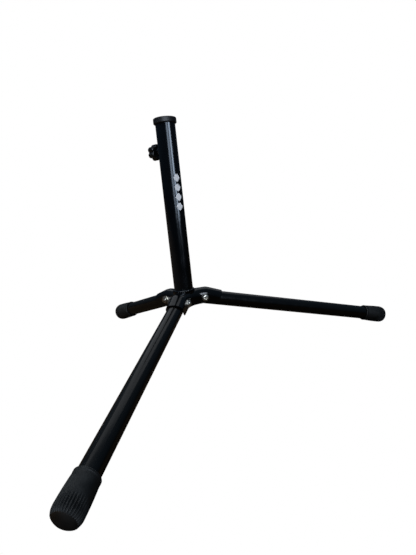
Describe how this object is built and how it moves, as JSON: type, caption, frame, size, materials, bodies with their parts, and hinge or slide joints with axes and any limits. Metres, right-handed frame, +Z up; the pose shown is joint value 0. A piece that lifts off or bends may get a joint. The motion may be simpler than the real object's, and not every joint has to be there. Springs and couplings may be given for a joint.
{
  "type": "trumpet stand",
  "caption": "Folding tripod base of a trumpet stand: leaning upright tube with a guide collar and clamp knob, pressed hub, hinged tube legs with rubber feet",
  "frame": {"origin": "on the floor, at the middle of the footprint", "axes": "+Z up from the floor; +Y away from the front leg, level; +X to the right of it. The upright leans towards the short leg, to -X and +Y"},
  "size_m": [0.3494, 0.4002, 0.248],
  "materials": {
    "hub_coat": "satin black powder coat on pressed steel",
    "column_paint": "gloss black paint on steel tube",
    "leg_coat": "satin black powder coat on steel tube",
    "foot_rubber": "matte black moulded rubber",
    "moulded_black": "matte black moulded plastic",
    "knob_black": "satin black moulded plastic",
    "black_oxide": "black-oxide steel",
    "white_nylon": "natural nylon",
    "zinc_steel": "bright zinc-plated steel"
  },
  "bodies": {
    "base": {"hub_spider": "hub_coat", "column_tube": "column_paint", "column_weld": "column_paint", "top_collar": "moulded_black", "clamp_boss": "column_paint", "pivot_front_bolt": "zinc_steel", "pivot_front_washer": "zinc_steel", "pivot_front_nut": "zinc_steel", "pivot_right_bolt": "zinc_steel", "pivot_right_washer": "zinc_steel", "pivot_right_nut": "zinc_steel", "pivot_short_bolt": "zinc_steel", "pivot_short_washer": "zinc_steel", "pivot_short_nut": "zinc_steel"},
    "leg_front": {"leg_front_tube": "leg_coat", "leg_front_plug": "moulded_black", "leg_front_foot": "foot_rubber"},
    "leg_right": {"leg_right_tube": "leg_coat", "leg_right_plug": "moulded_black", "leg_right_foot": "foot_rubber"},
    "leg_short": {"leg_short_tube": "leg_coat", "leg_short_plug": "moulded_black", "leg_short_foot": "foot_rubber"},
    "clamp_tip": {"clamp_pad": "white_nylon"},
    "clamp_handle": {"clamp_knob": "knob_black", "clamp_insert": "black_oxide", "clamp_screw": "black_oxide"}
  },
  "joints": [
    {"name": "leg_front_fold", "type": "hinge", "parent": "base", "child": "leg_front", "pos_m": [-0.06082, 0.045, 0.0553], "axis": [0.9934, 0.0038, 0.1148], "range_deg": [0, 75]},
    {"name": "leg_right_fold", "type": "hinge", "parent": "base", "child": "leg_right", "pos_m": [-0.04239, 0.07692, 0.0553], "axis": [-0.4934, 0.8622, -0.1148], "range_deg": [0, 75]},
    {"name": "leg_short_fold", "type": "hinge", "parent": "base", "child": "leg_short", "pos_m": [-0.079, 0.07678, 0.05107], "axis": [-0.5, -0.866, 0], "range_deg": [0, 75]},
    {"name": "clamp_travel", "type": "slide", "parent": "base", "child": "clamp_tip", "axis": [0.8584, -0.4956, 0.1325], "range_m": [-0.0016, 0.0018]},
    {"name": "clamp_turn", "type": "hinge", "parent": "clamp_tip", "child": "clamp_handle", "pos_m": [-0.08972, 0.08296, 0.21367], "axis": [0.8584, -0.4956, 0.1325], "range_deg": [-742, 832]}
  ],
  "couplings": [
    {"joint": "clamp_turn", "follows": "clamp_travel", "rad_per_m": 7854}
  ]
}
